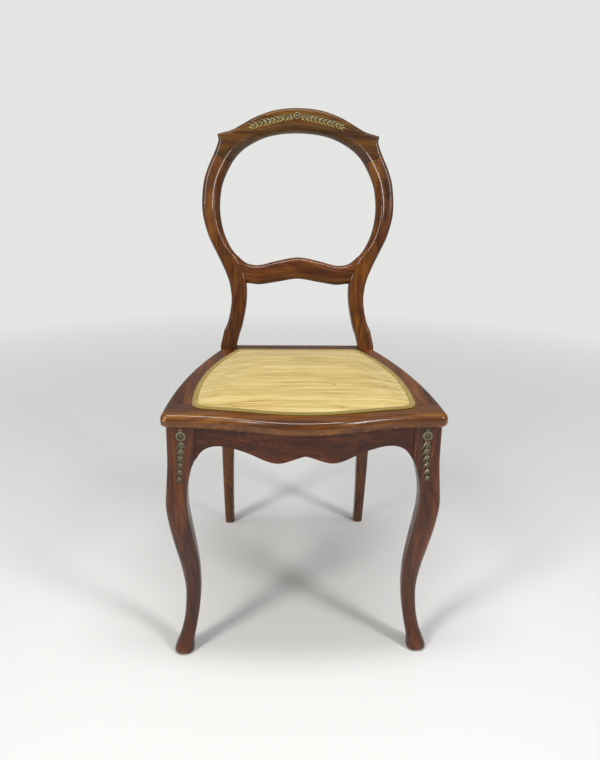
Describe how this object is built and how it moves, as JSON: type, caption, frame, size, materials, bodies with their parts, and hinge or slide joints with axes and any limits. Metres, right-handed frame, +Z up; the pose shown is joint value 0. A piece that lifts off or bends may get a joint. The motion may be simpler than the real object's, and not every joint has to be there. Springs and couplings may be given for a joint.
{
  "type": "balloon back dining chair",
  "caption": "Wooden balloon back dining chair with moulded back hoop, cabriole front legs, brass leaf mounts and a stuffed braid-edged seat.",
  "frame": {"origin": "on the floor, under the middle of the chair's box", "axes": "+Z up, the chair faces -Y, +X is the right-hand side in the front view"},
  "size_m": [0.4378, 0.5008, 0.9084],
  "materials": {
    "polished_wood": "French polished reddish-brown hardwood",
    "inner_wood": "unpolished hardwood",
    "screw_steel": "dull old steel",
    "jute": "woven jute",
    "hessian": "coarse plain weave",
    "stuffing": "fibre stuffing under calico",
    "silk": "slubbed straw-gold silk",
    "gimp": "mustard-gold braid",
    "brass": "aged stamped brass"
  },
  "bodies": {
    "root": {"left_back_post": "polished_wood", "right_back_post": "polished_wood", "crest_rail": "polished_wood", "mid_rail": "polished_wood", "seat_front_rail": "polished_wood", "seat_left_rail": "polished_wood", "seat_right_rail": "polished_wood", "seat_rear_rail": "polished_wood", "left_front_leg": "polished_wood", "right_front_leg": "polished_wood", "front_apron": "polished_wood", "left_apron": "polished_wood", "right_apron": "polished_wood", "rear_apron": "polished_wood", "crest_dowels": "inner_wood", "mid_rail_dowels": "inner_wood", "seat_frame_dowels": "inner_wood", "front_left_corner_block": "inner_wood", "front_right_corner_block": "inner_wood", "rear_left_corner_block": "inner_wood", "rear_right_corner_block": "inner_wood", "seat_frame_screws": "screw_steel", "webbing_lengthwise": "jute", "webbing_crosswise": "jute", "hessian_cloth": "hessian", "seat_stuffing": "stuffing", "seat_cover": "silk", "gimp_braid": "gimp", "crest_rosette": "brass", "left_crest_branch": "brass", "right_crest_branch": "brass", "left_leg_mount": "brass", "right_leg_mount": "brass"}
  },
  "joints": []
}
